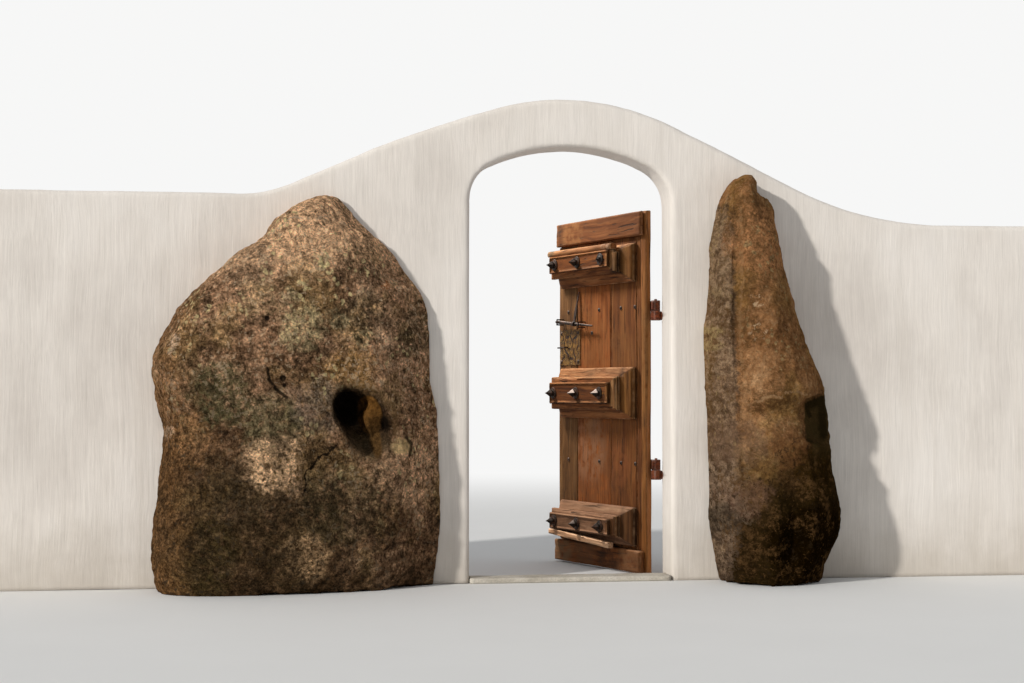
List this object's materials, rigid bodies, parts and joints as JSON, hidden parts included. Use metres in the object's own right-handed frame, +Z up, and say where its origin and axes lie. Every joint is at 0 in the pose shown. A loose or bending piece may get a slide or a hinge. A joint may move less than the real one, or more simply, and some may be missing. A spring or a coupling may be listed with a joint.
{
  "type": "arched garden gateway",
  "caption": "Arched opening in a sweeping rendered garden wall, with a heavy old timber door standing open inwards and granite boulders set against the wall beside it.",
  "frame": {"origin": "centre of the gateway at ground level, on the wall's middle plane, on the underside of the threshold stone", "axes": "+X along the wall to the right as seen from the front, +Y from the front through the opening to the back, +Z up"},
  "size_m": [6.6, 1.7265, 2.6046],
  "materials": {
    "plaster": "matte",
    "granite": "matte",
    "threshold_stone": "matte",
    "timber": "matte",
    "grey_timber": "matte",
    "iron": "matte",
    "old_brass": "satin"
  },
  "bodies": {
    "gate": {"left_wall": "plaster", "left_jamb": "plaster", "arch_head": "plaster", "right_jamb": "plaster", "right_wall": "plaster", "threshold": "threshold_stone", "left_boulder": "granite", "right_boulder": "granite", "upper_pintle": "iron", "lower_pintle": "iron"},
    "door": {"hinge_stile": "timber", "top_rail": "timber", "bottom_rail": "timber", "plank_1": "timber", "plank_2": "timber", "plank_3": "timber", "upper_block_base": "timber", "upper_block_moulding": "timber", "upper_block_panel": "timber", "upper_block_cap": "timber", "middle_block_base": "timber", "middle_block_moulding": "timber", "middle_block_panel": "timber", "lower_block_base": "timber", "lower_block_moulding": "timber", "lower_block_panel": "timber", "lower_block_loose_trim": "timber", "plank_4": "grey_timber", "upper_strap": "iron", "lower_strap": "iron", "upper_nails": "iron", "lower_nails": "iron", "upper_spikes": "iron", "middle_spikes": "iron", "lower_spikes": "iron", "lock_nails": "iron", "door_pull": "iron", "bolt_guides": "iron", "lock_plate": "old_brass"},
    "bolt": {"bolt_bar": "iron"},
    "hasp": {"hasp_arm": "iron"}
  },
  "joints": [
    {"name": "door_swing", "type": "hinge", "parent": "gate", "child": "door", "pos_m": [0.516, 0.095, 1], "axis": [0, 0, 1], "range_deg": [-39, 71]},
    {"name": "bolt_slide", "type": "slide", "parent": "door", "child": "bolt", "axis": [-0.3243, 0.9419, 0.0872], "range_m": [0, 0.08]},
    {"name": "hasp_flip", "type": "hinge", "parent": "bolt", "child": "hasp", "pos_m": [0.19425, 0.85129, 1.42594], "axis": [0.3243, -0.9419, -0.0872], "range_deg": [0, 170]}
  ]
}
